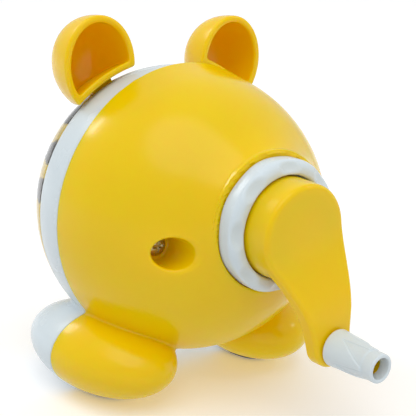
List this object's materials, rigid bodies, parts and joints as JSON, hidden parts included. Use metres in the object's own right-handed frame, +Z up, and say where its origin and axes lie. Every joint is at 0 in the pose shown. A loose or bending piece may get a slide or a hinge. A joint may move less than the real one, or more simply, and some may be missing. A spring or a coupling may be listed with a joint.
{
  "type": "hand-crank pencil sharpener",
  "caption": "Round hand-crank pencil sharpener with two ears, two feet, a clear face cover, a twist-off lock ring and a crank with a tapered knob.",
  "frame": {"origin": "on the table, under the middle of the object's bounding box", "axes": "+Z up, +Y towards the crank at the back, +X towards the animal's left ear"},
  "size_m": [0.0872, 0.1234, 0.1061],
  "materials": {
    "yellow_plastic": "glossy injection-moulded plastic",
    "white_plastic": "cool white glossy moulded plastic",
    "clear_plastic": "clear, faintly smoky moulded plastic",
    "printed_film": "printed plastic-coated card, satin",
    "dark_plastic": "satin dark plastic",
    "grey_plastic": "satin grey moulded plastic",
    "cutter_steel": "hardened ground steel",
    "zinc": "yellow zinc-plated steel screw",
    "pad_rubber": "matte dark rubber"
  },
  "bodies": {
    "body": {"rear_shell": "yellow_plastic", "front_shell": "white_plastic", "carrier_bearing": "grey_plastic", "face_insert": "printed_film", "face_cover": "clear_plastic", "pencil_guide": "dark_plastic", "left_ear": "yellow_plastic", "right_ear": "yellow_plastic", "left_body_screw": "zinc", "right_body_screw": "zinc", "left_foot_pad": "pad_rubber", "right_foot_pad": "pad_rubber"},
    "collar": {"lock_ring": "white_plastic", "ring_gear": "grey_plastic"},
    "crank": {"crank_arm": "yellow_plastic", "cutter_carrier": "grey_plastic", "cutter_pin": "cutter_steel", "crank_screw": "zinc"},
    "cutter": {"helical_cutter": "cutter_steel", "cutter_pinion": "grey_plastic"},
    "knob": {"crank_knob": "white_plastic"}
  },
  "joints": [
    {"name": "lock_twist", "type": "hinge", "parent": "body", "child": "collar", "pos_m": [0, 0.0293, 0.0563], "axis": [0, -1, 0], "range_deg": [0, 40]},
    {"name": "crank_turn", "type": "hinge", "parent": "collar", "child": "crank", "pos_m": [0, 0.0343, 0.0563], "axis": [0, 1, 0], "continuous": true},
    {"name": "cutter_spin", "type": "hinge", "parent": "crank", "child": "cutter", "pos_m": [0, 0.0187, 0.0623], "axis": [0, 0.9816, -0.1908], "continuous": true},
    {"name": "knob_spin", "type": "hinge", "parent": "crank", "child": "knob", "pos_m": [-0.00867, 0.0533, 0.0259], "axis": [0, 1, 0], "continuous": true}
  ],
  "couplings": [
    {"joint": "cutter_spin", "follows": "crank_turn", "ratio": -2}
  ]
}
